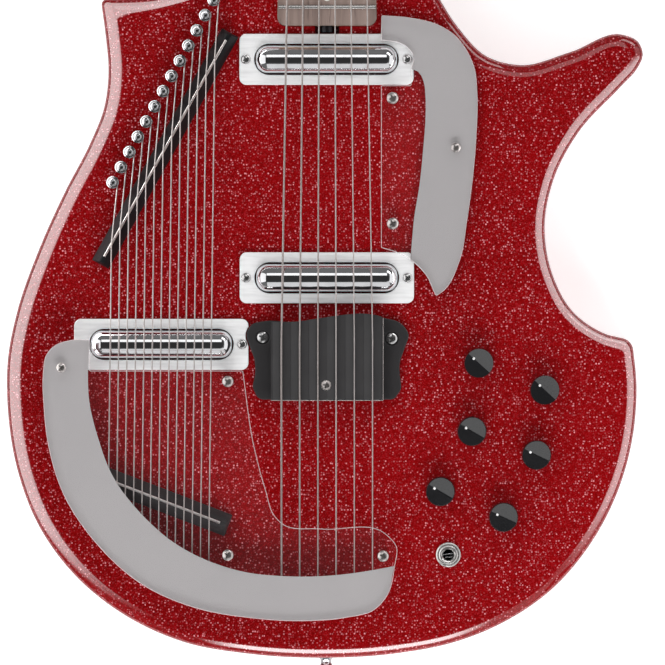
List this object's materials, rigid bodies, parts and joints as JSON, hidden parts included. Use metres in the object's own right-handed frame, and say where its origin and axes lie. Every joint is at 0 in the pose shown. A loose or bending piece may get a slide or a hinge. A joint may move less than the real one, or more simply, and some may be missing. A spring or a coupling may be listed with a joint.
{
  "type": "electric sitar",
  "caption": "Electric sitar: offset wooden body with horn, bolt-on neck, tube pickups, corrugated buzz bridge, playing and drone strings, clear guards and controls.",
  "frame": {"origin": "on the flat back, straight under the crown of the buzz bridge and on the centreline of the playing strings", "axes": "+X to the treble side, +Y to the headstock, +Z out of the front face"},
  "size_m": [0.3598, 1.0055, 0.057],
  "materials": {
    "body_lacquer": "gloss lacquer with metal flake",
    "maple": "satin",
    "rosewood": "open grain, oiled",
    "bone": "polished",
    "steel": "plain",
    "string_wire": "wound and plain wire",
    "chrome": "polished",
    "satin_chrome": "satin",
    "black_hardware": "satin black",
    "black_plastic": "satin",
    "clear_acrylic": "clear, with a grey band on the underside",
    "lead_insulation": "plain"
  },
  "bodies": {
    "instrument": {"body": "body_lacquer", "bridge_base": "black_hardware", "buzz_plate": "black_hardware", "control_cover": "black_plastic", "drone_bridge": "black_hardware", "drone_bridge_wire": "string_wire", "drone_nut": "black_hardware", "drone_nut_wire": "string_wire", "drone_pickup_surround": "satin_chrome", "drone_pickup_tube": "chrome", "drone_strings": "string_wire", "fingerboard": "rosewood", "lower_guard": "clear_acrylic", "middle_pickup_surround": "satin_chrome", "middle_pickup_tube": "chrome", "neck": "maple", "neck_pickup_surround": "satin_chrome", "neck_pickup_tube": "chrome", "neck_plate": "chrome", "output_jack": "chrome", "pickup_leads": "lead_insulation", "playing_strings": "string_wire", "pot_plate": "steel", "strap_button_shoulder": "chrome", "strap_button_tail": "chrome", "string_nut": "bone", "truss_rod": "steel", "tuner_plate": "chrome", "upper_guard": "clear_acrylic"},
    "tuner_key_1": {"tuner_key_1": "chrome"},
    "tuner_key_2": {"tuner_key_2": "chrome"},
    "tuner_key_3": {"tuner_key_3": "chrome"},
    "tuner_key_4": {"tuner_key_4": "chrome"},
    "tuner_key_5": {"tuner_key_5": "chrome"},
    "tuner_key_6": {"tuner_key_6": "chrome"},
    "tuner_post_1": {"tuner_post_1": "chrome"},
    "tuner_post_2": {"tuner_post_2": "chrome"},
    "tuner_post_3": {"tuner_post_3": "chrome"},
    "tuner_post_4": {"tuner_post_4": "chrome"},
    "tuner_post_5": {"tuner_post_5": "chrome"},
    "tuner_post_6": {"tuner_post_6": "chrome"},
    "drone_pin_01": {"drone_pin_01": "chrome"},
    "drone_pin_02": {"drone_pin_02": "chrome"},
    "drone_pin_03": {"drone_pin_03": "chrome"},
    "drone_pin_04": {"drone_pin_04": "chrome"},
    "drone_pin_05": {"drone_pin_05": "chrome"},
    "drone_pin_06": {"drone_pin_06": "chrome"},
    "drone_pin_07": {"drone_pin_07": "chrome"},
    "drone_pin_08": {"drone_pin_08": "chrome"},
    "drone_pin_09": {"drone_pin_09": "chrome"},
    "drone_pin_10": {"drone_pin_10": "chrome"},
    "drone_pin_11": {"drone_pin_11": "chrome"},
    "drone_pin_12": {"drone_pin_12": "chrome"},
    "drone_pin_13": {"drone_pin_13": "chrome"},
    "knob_1": {"knob_1": "black_plastic"},
    "knob_2": {"knob_2": "black_plastic"},
    "knob_3": {"knob_3": "black_plastic"},
    "knob_4": {"knob_4": "black_plastic"},
    "knob_5": {"knob_5": "black_plastic"},
    "knob_6": {"knob_6": "black_plastic"}
  },
  "joints": [
    {"name": "knob_turn_1", "type": "hinge", "parent": "instrument", "child": "knob_1", "pos_m": [0.0857, -0.0122, 0.0385], "axis": [0, 0, 1], "range_deg": [-150, 150]},
    {"name": "knob_turn_2", "type": "hinge", "parent": "instrument", "child": "knob_2", "pos_m": [0.1229, -0.0274, 0.0385], "axis": [0, 0, 1], "range_deg": [-150, 150]},
    {"name": "knob_turn_3", "type": "hinge", "parent": "instrument", "child": "knob_3", "pos_m": [0.0818, -0.0507, 0.0385], "axis": [0, 0, 1], "range_deg": [-150, 150]},
    {"name": "knob_turn_4", "type": "hinge", "parent": "instrument", "child": "knob_4", "pos_m": [0.1182, -0.0641, 0.0385], "axis": [0, 0, 1], "range_deg": [-150, 150]},
    {"name": "knob_turn_5", "type": "hinge", "parent": "instrument", "child": "knob_5", "pos_m": [0.064, -0.0847, 0.0385], "axis": [0, 0, 1], "range_deg": [-150, 150]},
    {"name": "knob_turn_6", "type": "hinge", "parent": "instrument", "child": "knob_6", "pos_m": [0.0996, -0.0992, 0.0385], "axis": [0, 0, 1], "range_deg": [-150, 150]},
    {"name": "key_turn_1", "type": "hinge", "parent": "instrument", "child": "tuner_key_1", "pos_m": [-0.0193, 0.668, 0.01575], "axis": [-0.974, 0.2267, 0], "continuous": true},
    {"name": "post_turn_1", "type": "hinge", "parent": "instrument", "child": "tuner_post_1", "pos_m": [-0.0193, 0.668, 0.036], "axis": [0, 0, 1], "continuous": true},
    {"name": "key_turn_2", "type": "hinge", "parent": "instrument", "child": "tuner_key_2", "pos_m": [-0.01348, 0.693, 0.01575], "axis": [-0.974, 0.2267, 0], "continuous": true},
    {"name": "post_turn_2", "type": "hinge", "parent": "instrument", "child": "tuner_post_2", "pos_m": [-0.01348, 0.693, 0.036], "axis": [0, 0, 1], "continuous": true},
    {"name": "key_turn_3", "type": "hinge", "parent": "instrument", "child": "tuner_key_3", "pos_m": [-0.00766, 0.718, 0.01575], "axis": [-0.974, 0.2267, 0], "continuous": true},
    {"name": "post_turn_3", "type": "hinge", "parent": "instrument", "child": "tuner_post_3", "pos_m": [-0.00766, 0.718, 0.036], "axis": [0, 0, 1], "continuous": true},
    {"name": "key_turn_4", "type": "hinge", "parent": "instrument", "child": "tuner_key_4", "pos_m": [-0.00184, 0.743, 0.01575], "axis": [-0.974, 0.2267, 0], "continuous": true},
    {"name": "post_turn_4", "type": "hinge", "parent": "instrument", "child": "tuner_post_4", "pos_m": [-0.00184, 0.743, 0.036], "axis": [0, 0, 1], "continuous": true},
    {"name": "key_turn_5", "type": "hinge", "parent": "instrument", "child": "tuner_key_5", "pos_m": [0.00398, 0.768, 0.01575], "axis": [-0.974, 0.2267, 0], "continuous": true},
    {"name": "post_turn_5", "type": "hinge", "parent": "instrument", "child": "tuner_post_5", "pos_m": [0.00398, 0.768, 0.036], "axis": [0, 0, 1], "continuous": true},
    {"name": "key_turn_6", "type": "hinge", "parent": "instrument", "child": "tuner_key_6", "pos_m": [0.0098, 0.793, 0.01575], "axis": [-0.974, 0.2267, 0], "continuous": true},
    {"name": "post_turn_6", "type": "hinge", "parent": "instrument", "child": "tuner_post_6", "pos_m": [0.0098, 0.793, 0.036], "axis": [0, 0, 1], "continuous": true},
    {"name": "drone_pin_turn_01", "type": "hinge", "parent": "instrument", "child": "drone_pin_01", "pos_m": [-0.121, 0.0898, 0.038], "axis": [0, 0, 1], "continuous": true},
    {"name": "drone_pin_turn_02", "type": "hinge", "parent": "instrument", "child": "drone_pin_02", "pos_m": [-0.11625, 0.09838, 0.038], "axis": [0, 0, 1], "continuous": true},
    {"name": "drone_pin_turn_03", "type": "hinge", "parent": "instrument", "child": "drone_pin_03", "pos_m": [-0.1115, 0.10696, 0.038], "axis": [0, 0, 1], "continuous": true},
    {"name": "drone_pin_turn_04", "type": "hinge", "parent": "instrument", "child": "drone_pin_04", "pos_m": [-0.10675, 0.11554, 0.038], "axis": [0, 0, 1], "continuous": true},
    {"name": "drone_pin_turn_05", "type": "hinge", "parent": "instrument", "child": "drone_pin_05", "pos_m": [-0.102, 0.12412, 0.038], "axis": [0, 0, 1], "continuous": true},
    {"name": "drone_pin_turn_06", "type": "hinge", "parent": "instrument", "child": "drone_pin_06", "pos_m": [-0.09725, 0.1327, 0.038], "axis": [0, 0, 1], "continuous": true},
    {"name": "drone_pin_turn_07", "type": "hinge", "parent": "instrument", "child": "drone_pin_07", "pos_m": [-0.0925, 0.14128, 0.038], "axis": [0, 0, 1], "continuous": true},
    {"name": "drone_pin_turn_08", "type": "hinge", "parent": "instrument", "child": "drone_pin_08", "pos_m": [-0.08775, 0.14986, 0.038], "axis": [0, 0, 1], "continuous": true},
    {"name": "drone_pin_turn_09", "type": "hinge", "parent": "instrument", "child": "drone_pin_09", "pos_m": [-0.083, 0.15844, 0.038], "axis": [0, 0, 1], "continuous": true},
    {"name": "drone_pin_turn_10", "type": "hinge", "parent": "instrument", "child": "drone_pin_10", "pos_m": [-0.07825, 0.16702, 0.038], "axis": [0, 0, 1], "continuous": true},
    {"name": "drone_pin_turn_11", "type": "hinge", "parent": "instrument", "child": "drone_pin_11", "pos_m": [-0.0735, 0.1756, 0.038], "axis": [0, 0, 1], "continuous": true},
    {"name": "drone_pin_turn_12", "type": "hinge", "parent": "instrument", "child": "drone_pin_12", "pos_m": [-0.06875, 0.18418, 0.038], "axis": [0, 0, 1], "continuous": true},
    {"name": "drone_pin_turn_13", "type": "hinge", "parent": "instrument", "child": "drone_pin_13", "pos_m": [-0.064, 0.19276, 0.038], "axis": [0, 0, 1], "continuous": true}
  ],
  "couplings": [
    {"joint": "post_turn_1", "follows": "key_turn_1", "ratio": 0.0714},
    {"joint": "post_turn_2", "follows": "key_turn_2", "ratio": 0.0714},
    {"joint": "post_turn_3", "follows": "key_turn_3", "ratio": 0.0714},
    {"joint": "post_turn_4", "follows": "key_turn_4", "ratio": 0.0714},
    {"joint": "post_turn_5", "follows": "key_turn_5", "ratio": 0.0714},
    {"joint": "post_turn_6", "follows": "key_turn_6", "ratio": 0.0714}
  ]
}
